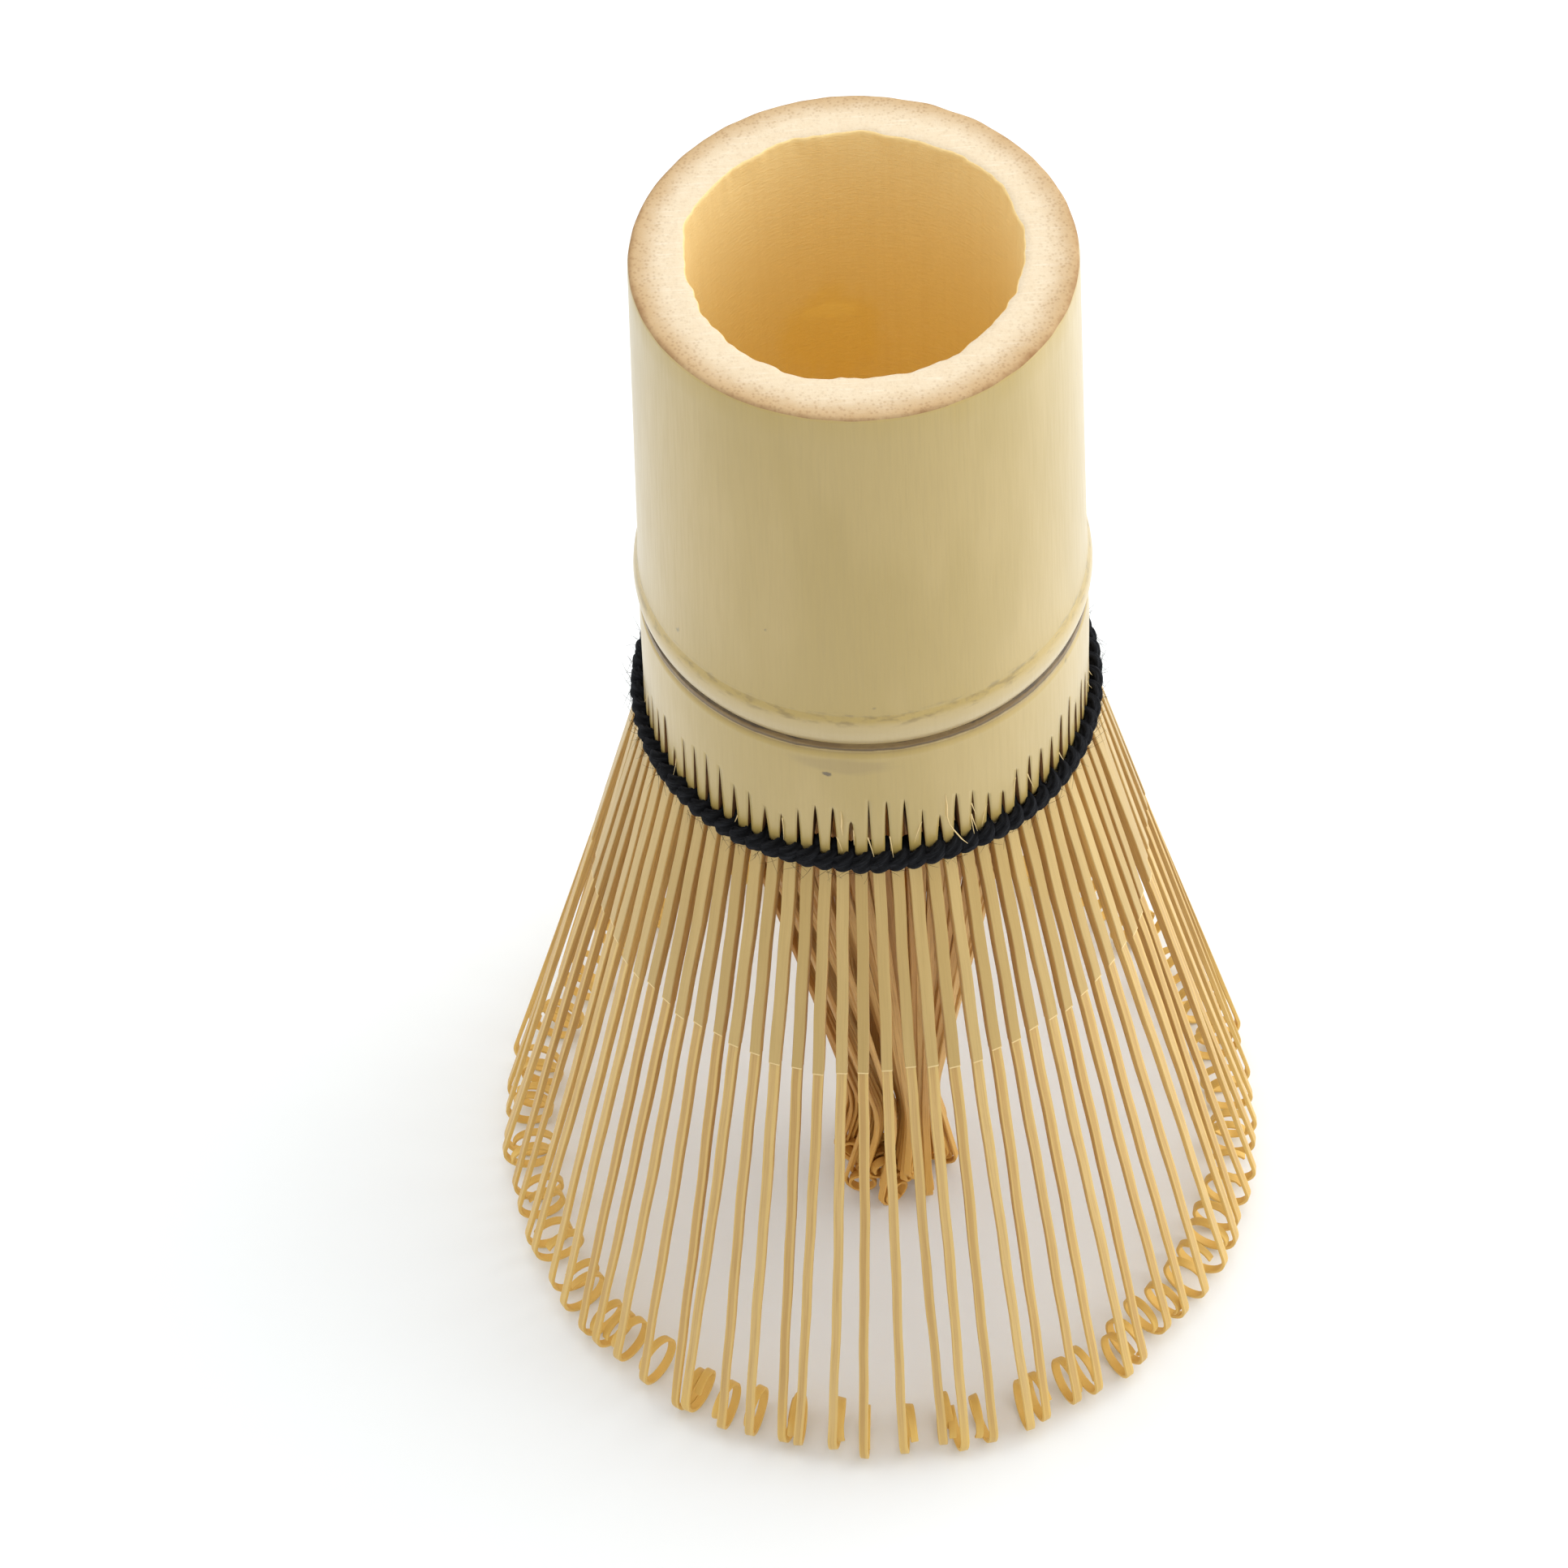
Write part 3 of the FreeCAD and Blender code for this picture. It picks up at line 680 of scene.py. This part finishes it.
def collar_piece(skin, wall_side):
    """Collar: one skin above, parted by V-shaped slits into a finger for each outer tine."""
    columns = 4
    heights = [NODE_LOW_Z, 71.6, 70.6, 69.6, 68.8] + [68.2 - 0.36 * k for k in range(21)]
    mesh = bpy.data.meshes.new("collar_fingers")
    work = bmesh.new()
    for finger in range(TINE_COUNT):
        lift = 0.05 * jitter(finger, 9)
        rows = []
        for z in heights:
            left = (finger - 0.5) * PITCH + slit_half(finger - 1, z)
            right = (finger + 0.5) * PITCH - slit_half(finger, z)
            free = smooth(z, FINGER_END_Z, 64.0)
            row = []
            for k in range(columns + 1):
                degrees = left + (right - left) * k / columns
                crown = 0.03 * (1 - (2 * k / columns - 1) ** 2)
                radius = culm_radius(z, degrees) + (1 - free) * (lift + crown)
                row.append(work.verts.new(turned(radius, degrees, z) * MM))
            rows.append(row)
        for upper, lower in zip(rows, rows[1:]):
            for k in range(columns):
                work.faces.new((upper[k], lower[k], lower[k + 1], upper[k + 1])).smooth = True
    bmesh.ops.remove_doubles(work, verts=work.verts, dist=0.004 * MM)
    bmesh.ops.recalc_face_normals(work, faces=work.faces)
    work.to_mesh(mesh)
    work.free()
    for material in (skin, wall_side):
        mesh.materials.append(material)
    mesh.set_sharp_from_angle(angle=math.radians(50))
    piece = place(mesh, "collar_fingers", "grip", ["split_collar"])
    wall = piece.modifiers.new("wall", "SOLIDIFY")
    wall.thickness = COLLAR_WALL * MM
    wall.offset = -1.0
    # The inside of the wall and the slit walls take the dark slit material, which is painted shade.
    wall.material_offset = 1
    wall.material_offset_rim = 1
    wall.use_even_offset = True
    builder = Builder()
    # Inner lining and floor of the collar, in the dark slit material as painted shade.
    rows = [(NODE_LOW_Z, 14.4), (COLLAR_FLOOR_Z + 0.3, 14.7), (COLLAR_FLOOR_Z, 14.3),
            (COLLAR_FLOOR_Z, COLLAR_BORE_R), (NODE_LOW_Z, 11.6)]
    lathe(builder, [(z, lambda z, a, r=r: r) for z, r in rows], [0] * len(rows), 160)
    builder.piece("collar_core", "grip", [], "bamboo_skin", [wall_side])
    return piece


# ---------------------------------------------------------------- tines


def bearing(heading):
    """Unit direction in the XZ plane at a heading in degrees."""
    angle = math.radians(heading)
    return Vector((math.cos(angle), 0, math.sin(angle)))


def walk(start, heading, steps):
    """Follows (length, turn) steps in the XZ plane; yields (point, heading) after each one."""
    at, spots = Vector(start), [(Vector(start), heading)]
    for length, turn in steps:
        at = at + bearing(heading - turn / 2) * length
        heading -= turn
        spots.append((at.copy(), heading))
    return spots


def held(index, sideways, room):
    """Sideways offset of an outer tine; beside the next group it leans away from it by the room."""
    place_in = index % OUTER_PER_NODE
    if place_in == 0:
        return max(sideways, room)
    if place_in == OUTER_PER_NODE - 1:
        return min(sideways, -room)
    return sideways


def outer_steps(upper, lower, curl, turn):
    """Steps along an outer tine: skin, short edge, shaved part and curl."""
    steps = [((upper - STEP_EDGE) / (UPPER_STEPS - 1), 0.0)] * (UPPER_STEPS - 1) + [(STEP_EDGE, 0.0)]
    steps += [(lower / LOWER_STEPS, 0.0)] * LOWER_STEPS
    step_turn = turn / OUTER_CURL_STEPS
    for k in range(OUTER_CURL_STEPS):
        radius = curl * (1.03 - 0.3 * (k + 0.5) / OUTER_CURL_STEPS)
        steps.append((radius * math.radians(step_turn), step_turn))
    return steps


def outer_layers(step, run, upper, lower, curled, width):
    """Sections at a step as (depth, sink, width, material); there are two where the skin ends."""
    if step <= UPPER_STEPS:
        thick = OUTER_THICK_TOP + (OUTER_THICK_STEP - OUTER_THICK_TOP) * run / upper
    else:
        share = min((run - upper) / lower, 1.0)
        thick = OUTER_THICK_STEP + (OUTER_THICK_TIP - OUTER_THICK_STEP) * share
    thick *= 1 - 0.25 * curled
    shaved = width * 0.94
    if step < UPPER_STEPS:
        return [(thick, 0.0, width, 0)]
    if step == UPPER_STEPS:
        return [(thick, 0.0, width, 0), (thick - SKIN_THICK, SKIN_THICK, shaved, 1)]
    sink = SKIN_THICK * (1 - min(run / (upper + lower), 1.0))
    return [(thick - sink, sink, shaved, 1)]


def outer_tine(builder, index):
    """One outer tine: skin, step, shaved lower part and a curl of about one turn."""
    lean = OUTER_LEAN + OUTER_LEAN_SPREAD * jitter(index, 3)
    slope = math.radians(lean)
    curl = CURL_R + CURL_R_SPREAD * jitter(index, 4)
    lift = CURL_LIFT_SPREAD * (0.5 + jitter(index, 5)) if index % OUTER_PER_NODE else 0.0
    step_z = SKIN_END_Z + SKIN_END_SPREAD * jitter(index, 6)
    upper = (OUTER_TOP_Z - step_z) / math.cos(slope)
    lower = (step_z - curl * (1 + math.sin(slope)) - lift) / math.cos(slope)
    turn = 375 + 90 * jitter(index, 7)
    sway = held(index, OUTER_SWAY * jitter(index, 14), GROUP_EDGE_SWAY)
    drift = (0.75 + 0.5 * jitter(index, 11)) * (1 if jitter(index, 12) > -0.2 else -1)
    drift = held(index, sway + drift, GROUP_EDGE_CURL) - sway
    bow = 0.5 * jitter(index, 13)
    steps = outer_steps(upper, lower, curl, turn)
    spots = walk((FINGER_END_R - 0.04, 0, OUTER_TOP_Z), lean - 90, steps)
    side = Vector((0, 1, 0))
    rings, lengths, bare = [], [], []
    run = 0.0
    for k, (point, heading) in enumerate(spots):
        run += steps[k - 1][0] if k else 0.0
        part = min(run / (upper + lower), 1.0)
        curled = max(k - UPPER_STEPS - LOWER_STEPS, 0) / OUTER_CURL_STEPS
        face = bearing(heading + 90)
        twist = 14 * jitter(index, 15) * part + 26 * jitter(index, 16) * curled
        spin = Matrix.Rotation(math.radians(twist), 3, bearing(heading))
        wave = bow * math.sin(math.pi * part) + 0.05 * math.sin(5 * part + index)
        knife = 0.05 * waver(index, 18, run)
        centre = point + Vector((wave, 0, 0)) + side * (sway * part ** 2 + drift * curled + knife)
        width = tine_width(index) + (OUTER_WIDTH_LOW - tine_width(index)) * part
        width += 0.03 * waver(index, 19, 2.0 * run)
        width *= 1 - 0.12 * smooth(curled, 0.6, 1.0)
        layers = outer_layers(k, run, upper, lower, curled, width)
        for extra, (depth, sink, wide, stage) in enumerate(layers):
            middle = centre - face * (sink + depth / 2)
            rings.append(bevelled_section(middle, spin @ side, spin @ face, wide, depth, OUTER_EDGE))
            lengths.append(run + 0.02 * extra)
            bare.append(stage)
    turn_to = Matrix.Rotation(math.radians(index * PITCH), 3, "Z")
    rings = [[turn_to @ point for point in ring] for ring in rings]

    def slots(row, side):
        if side in (0, 1, 7):
            return 3 if row == UPPER_STEPS - 1 else bare[row]
        return 2
    builder.loft(rings, slots, lengths, jitter(index, 17) + 0.5, index * STRIP_OFFSET)


def outer_group(number, materials):
    builder = Builder()
    for place_in in range(OUTER_PER_NODE):
        outer_tine(builder, (number - 1) * OUTER_PER_NODE + place_in)
    node = "outer_tines_%02d" % number
    body = "outer_group_%02d" % number
    return builder.piece(node + "_split", body, [node], "outer_tine_bamboo", materials, 35.0)


def neck_lean(reach, drop):
    """Lean of an inner tine whose straight part runs into the neck bend without a kink."""
    lean = math.atan2(reach, drop)
    for _ in range(8):
        lean = math.atan2(reach - NECK_BEND_R * (1 - math.cos(lean)), drop - NECK_BEND_R * math.sin(lean))
    return lean


def inner_steps(straight, bend, run_out, curl, turn):
    """Steps along an inner tine: straight, neck bend, flare and curl."""
    steps = [(straight / INNER_STRAIGHT_STEPS, 0.0)] * INNER_STRAIGHT_STEPS
    steps += [(NECK_BEND_R * math.radians(bend / NECK_STEPS), -bend / NECK_STEPS)] * NECK_STEPS
    steps += [(run_out / FLARE_STEPS, 0.0)] * FLARE_STEPS
    step_turn = turn / INNER_CURL_STEPS
    for k in range(INNER_CURL_STEPS):
        radius = curl * (1.02 - 0.35 * k / INNER_CURL_STEPS)
        steps.append((radius * math.radians(step_turn), step_turn))
    return steps


def inner_tine(builder, node, layer):
    """One inner tine: in to the neck, out below it, and a small curl."""
    neck_r, low_z, curl, height_spread = INNER_LAYERS[layer]
    index = node * INNER_PER_NODE + layer
    low_z += height_spread * (node % 2) * (0.75 + 0.5 * jitter(index, 37))
    quarter = node // NODES_PER_QUARTER
    neck_turn = (node * INNER_PER_NODE + (INNER_PER_NODE - 1) / 2) * PITCH + INNER_TWIST
    gap_turn = quarter * 90 + 45 - PITCH / 2 + INNER_TWIST
    root = turned(INNER_TOP_R, index * PITCH, 0)
    neck = Vector((NECK_SHIFT[0], NECK_SHIFT[1], 0))
    neck += turned(neck_r, neck_turn, 0) + turned(QUARTER_GAP, gap_turn, 0)
    chord = root - neck
    drop = INNER_TOP_Z - NECK_Z
    lean = neck_lean(chord.length, drop)
    straight = (drop - NECK_BEND_R * math.sin(lean)) / math.cos(lean)
    flare = math.radians(FLARE)
    bend = math.degrees(lean) + FLARE
    end_z = NECK_Z - NECK_BEND_R * math.sin(flare)
    run_out = max((end_z - low_z - curl * (1 + math.sin(flare))) / math.cos(flare), 0.1)
    steps = inner_steps(straight, bend, run_out, curl, 440 + 200 * jitter(index, 31))
    before_curl = len(steps) - INNER_CURL_STEPS
    spots = walk((chord.length, 0, INNER_TOP_Z), -90 - math.degrees(lean), steps)
    turn_to = Matrix.Rotation(math.atan2(chord.y, chord.x), 3, "Z")
    drift = 1.1 * jitter(index, 32)
    bow = 0.25 * jitter(index, 33)
    side = Vector((0, 1, 0))
    rings, lengths, run = [], [], 0.0
    total = straight + NECK_BEND_R * math.radians(bend) + run_out
    for k, (point, heading) in enumerate(spots):
        run += steps[k - 1][0] if k else 0.0
        part = min(run / total, 1.0)
        curled = max(k - before_curl, 0) / INNER_CURL_STEPS
        face = bearing(heading + 90)
        twist = 40 * jitter(index, 34) * math.sin(math.pi * part) + 60 * jitter(index, 35) * curled
        spin = Matrix.Rotation(math.radians(twist), 3, bearing(heading))
        centre = point + side * (bow * math.sin(math.pi * min(part / 0.8, 1.0)) + drift * curled)
        thick = INNER_THICK_TOP + (INNER_THICK_TIP - INNER_THICK_TOP) * part
        width = INNER_WIDTH * (1.0 - 0.2 * part) * (1 + 0.2 * smooth(curled, 0.0, 0.3))
        middle = centre - face * thick / 2
        ring = bevelled_section(middle, spin @ side, spin @ face, width, thick, OUTER_EDGE)
        rings.append([turn_to @ spot + neck for spot in ring])
        lengths.append(run)
    builder.loft(rings, lambda row, side: 0, lengths, jitter(index, 36) + 0.5, index * 5.3)


def inner_group(number, material):
    builder = Builder()
    for layer in range(INNER_PER_NODE):
        inner_tine(builder, number - 1, layer)
    node = "inner_tines_%02d" % number
    body = "inner_quarter_%d" % ((number - 1) // NODES_PER_QUARTER + 1)
    return builder.piece(node + "_split", body, [node], "inner_tine_bamboo", [material], 35.0)


# ---------------------------------------------------------------- thread


def yarn_point(strand, turns):
    """Centre of one yarn where it has passed a number of tines."""
    phase = math.pi * (turns + strand)
    wobble = 0.12 * jitter(int(turns + 0.5) + 100 * strand, 41)
    radius = THREAD_MID_R + THREAD_SWING * math.tanh(YARN_SNAP * math.cos(phase))
    rise = THREAD_RISE * math.sin(phase) + 0.08 * math.sin(0.7 * turns + strand)
    return turned(radius + 0.3 * wobble, turns * PITCH, THREAD_Z + rise + wobble * 0.4)


def yarn(builder, strand):
    """A plied yarn that passes in front of every second tine and behind the others."""
    count = TINE_COUNT * YARN_STEPS
    centres = [yarn_point(strand, k / YARN_STEPS) for k in range(count)]
    rings, lengths, shades, run = [], [], [], 0.0
    for k, centre in enumerate(centres):
        ahead, behind = centres[(k + 1) % count], centres[k - 1]
        along = (ahead - behind).normalized()
        outward = Vector((centre.x, centre.y, 0)).normalized()
        up = (outward.cross(along)).normalized()
        out = along.cross(up).normalized()
        if up.z < 0:
            up, out = -up, -out
        turns = k / YARN_STEPS
        front = 0.5 + 0.5 * math.tanh(YARN_SNAP * math.cos(math.pi * (turns + strand)))
        tall = YARN_TALL * (0.52 + 0.48 * front) * (1 + 0.2 * jitter(int(turns + 0.5), 42))
        deep = YARN_DEEP * (0.75 + 0.25 * front)
        ring = []
        for side in range(YARN_SIDES):
            angle = 2 * math.pi * side / YARN_SIDES
            ply = abs(math.cos(0.5 * YARN_PLIES * (angle - YARN_TWIST * run)))
            swell = 0.7 + 0.3 * math.sqrt(ply)
            ring.append(centre + up * (tall * swell * math.sin(angle))
                        + out * (deep * swell * math.cos(angle)))
            # Painted shade: low in the grooves between the plies and where the yarn passes behind a tine,
            # high on the crests in front.
            shades.append(ply * front)
        rings.append(ring)
        lengths.append(run)
        run += (ahead - centre).length
    builder.loft(rings, lambda row, side: 0, lengths, offset=9.0 * strand, closed=True, shades=shades)


def fuzz(builder, count=520):
    """Fine loose fibres that stand off the yarn."""
    for index in range(count):
        degrees = 360 * (jitter(index, 51) + 0.5)
        radius = THREAD_MID_R + THREAD_SWING + YARN_DEEP * 0.7
        at = turned(radius, degrees, THREAD_Z + 1.3 * jitter(index, 52))
        out = turned(1, degrees, 0)
        around = Vector((-out.y, out.x, 0))
        aim = (out * (0.5 + jitter(index, 53)) + around * 2.4 * jitter(index, 54)
               + Vector((0, 0, 2.6 * jitter(index, 55)))).normalized()
        bend = (around * jitter(index, 56) + Vector((0, 0, jitter(index, 57)))) * 1.6
        length = 0.5 + 0.9 * (jitter(index, 58) + 0.5)
        rings, lengths = [], []
        for k in range(6):
            part = k / 5
            centre = at + aim * length * part + bend * (part * part * 0.5)
            size = 0.018 * (1 - 0.6 * part)
            rings.append([centre + (out.cross(aim) * math.cos(a) + out * math.sin(a)) * size
                          for a in (0.0, 2.09, 4.19)])
            lengths.append(length * part)
        builder.loft(rings, lambda row, side: 0, lengths, 0.5, index * 0.9)


def gap_strands(builder):
    """Short ends of yarn that fill the gaps between the fingers just above the woven band."""
    for index in range(TINE_COUNT):
        height = 1.0 + 0.8 * jitter(index, 71)
        rings, lengths = [], []
        for k in range(7):
            part = k / 6
            z = THREAD_Z + 0.2 + height * part
            at = turned(THREAD_MID_R - 0.25 * part, (index + 0.5 + 0.05 * jitter(index, 72)) * PITCH, z)
            size = (0.3 - 0.05 * part) * (1 if part < 1 else 0.3)
            around = turned(1, (index + 0.5) * PITCH + 90, 0)
            out = turned(1, (index + 0.5) * PITCH, 0)
            rings.append([at + around * size * math.cos(a) + out * 1.5 * size * math.sin(a)
                          for a in [2 * math.pi * side / 8 for side in range(8)]])
            lengths.append(height * part)
        builder.loft(rings, lambda row, side: 0, lengths, 0.5, index * 1.3)


def thread_piece(material):
    builder = Builder()
    yarn(builder, 0)
    yarn(builder, 1)
    gap_strands(builder)
    fuzz(builder)
    nodes = ["thread_upper_turn", "thread_lower_turn", "thread_back_turn"]
    return builder.piece("twined_thread", "grip", nodes, "cotton_thread", [material], 75.0)


def splinters(material, count=34):
    """Thin splinters that stand off the edges of the slits."""
    builder = Builder()
    for index in range(count):
        slit = int((jitter(index, 61) + 0.5) * TINE_COUNT)
        side = 1 if jitter(index, 62) > 0 else -1
        z = 62.2 + 2.6 * (jitter(index, 63) + 0.5)
        degrees = (slit + 0.5) * PITCH + side * slit_half(slit, z)
        at = turned(culm_radius(z, degrees) - 0.02, degrees, z)
        out = turned(1, degrees, 0)
        around = Vector((-out.y, out.x, 0))
        length = 0.8 + 1.4 * (jitter(index, 64) + 0.5)
        aim = Vector((0, 0, -1)) + around * 0.8 * jitter(index, 65) + out * 0.25 * (jitter(index, 66) + 0.5)
        rings, lengths = [], []
        for k in range(5):
            part = k / 4
            centre = at + aim * length * part + out * 0.25 * part * part
            size = 0.05 * (1 - 0.85 * part)
            rings.append([centre + around * size, centre + out * size * 0.5, centre - around * size])
            lengths.append(length * part)
        builder.loft(rings, lambda row, side: 0, lengths, 0.5, index)
    for route in SLIVERS:
        rings = []
        for k, (degrees, z, out) in enumerate(route):
            centre = turned(culm_radius(z, degrees) + out, degrees, z)
            across = turned(0.07 if 0 < k < len(route) - 1 else 0.02, degrees + 60, 0)
            rings.append([centre - across, centre + turned(0.04, degrees, 0), centre + across])
        builder.loft(rings, lambda row, side: 0, [0.8 * k for k in range(len(rings))], 0.5, 3.0)
    return builder.piece("splinters", "grip", [], "bamboo_skin", [material])


# ---------------------------------------------------------------- room


def floor_piece(material):
    """Large pale floor under the tips, curved up far behind."""
    mesh = bpy.data.meshes.new("floor")
    work = bmesh.new()
    rows = [(-2400.0, 0.0), (600.0, 0.0)]
    rows += [(600.0 + 400 * math.sin(math.radians(a)), 400 - 400 * math.cos(math.radians(a)))
             for a in range(10, 91, 10)]
    rows.append((1000.0, 1400.0))
    lines = [[work.verts.new(Vector((x, y, z)) * MM) for x in (-2400, 2400)] for y, z in rows]
    for (a, b), (c, d) in zip(lines, lines[1:]):
        work.faces.new((a, b, d, c)).smooth = True
    work.to_mesh(mesh)
    work.free()
    mesh.materials.append(material)
    floor = bpy.data.objects.new("floor", mesh)
    bpy.context.scene.collection.objects.link(floor)


def area_light(name, at, aim, size, power, colour=(1.0, 1.0, 1.0)):
    light = bpy.data.lights.new(name, "AREA")
    light.shape = "RECTANGLE"
    light.size, light.size_y = size[0] * MM, size[1] * MM
    light.energy = power
    light.color = colour
    lamp = bpy.data.objects.new(name, light)
    lamp.location = Vector(at) * MM
    lamp.rotation_euler = ((Vector(aim) - Vector(at)) * MM).to_track_quat("-Z", "Y").to_euler()
    bpy.context.scene.collection.objects.link(lamp)


def lights():
    """Soft white surroundings with a large soft box on each side and one above."""
    world = bpy.data.worlds.new("surroundings")
    world.use_nodes = True
    world.node_tree.nodes["Background"].inputs["Color"].default_value = (1.0, 1.0, 1.0, 1.0)
    world.node_tree.nodes["Background"].inputs["Strength"].default_value = WORLD_STRENGTH
    bpy.context.scene.world = world
    area_light("soft_right", (420, 60, 260), (0, 0, 50), (560, 560), 1.9)
    area_light("soft_left", (-460, 80, 260), (0, 0, 50), (420, 420), 0.35)
    area_light("soft_top", (0, 150, 560), (0, 0, 40), (500, 500), 1.2)


def camera():
    """Camera above the front of the whisk, rolled slightly."""
    rise, roll = math.radians(CAMERA_ELEVATION), math.radians(CAMERA_ROLL)
    back = Vector((0, -math.cos(rise), math.sin(rise)))
    right = Vector((1, 0, 0))
    up = back.cross(right)
    x_axis = right * math.cos(roll) + up * math.sin(roll)
    y_axis = up * math.cos(roll) - right * math.sin(roll)
    lens = bpy.data.cameras.new("camera")
    lens.sensor_width = 36.0
    lens.lens = CAMERA_LENS
    lens.clip_start, lens.clip_end = 0.01, 20.0
    eye = bpy.data.objects.new("camera", lens)
    at = (Vector(CAMERA_TARGET) + back * CAMERA_DISTANCE) * MM
    turn = Matrix((x_axis, y_axis, back)).transposed().to_4x4()
    eye.matrix_world = Matrix.Translation(at) @ turn
    bpy.context.scene.collection.objects.link(eye)
    bpy.context.scene.camera = eye


def main():
    skin, rim, bore = culm_skin(), cut_rim(), bore_wall()
    side, inner = tine_side(), inner_strip()
    handle_piece(skin, rim, bore)
    node_piece(skin, bore)
    collar_piece(skin, slit_wall())
    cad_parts["node_diaphragm"].data.materials.clear()
    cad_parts["node_diaphragm"].data.materials.append(septum_flesh())
    fibre = pale_fibre()
    outer = [tine_skin(), tine_bare(), side, fibre]
    for number in range(1, TINE_COUNT // OUTER_PER_NODE + 1):
        outer_group(number, outer)
    for number in range(1, TINE_COUNT // INNER_PER_NODE + 1):
        inner_group(number, inner)
    thread_piece(cotton())
    splinters(fibre)
    floor_piece(floor_paint())
    lights()
    camera()
    bpy.context.scene.view_settings.view_transform = "Standard"


main()
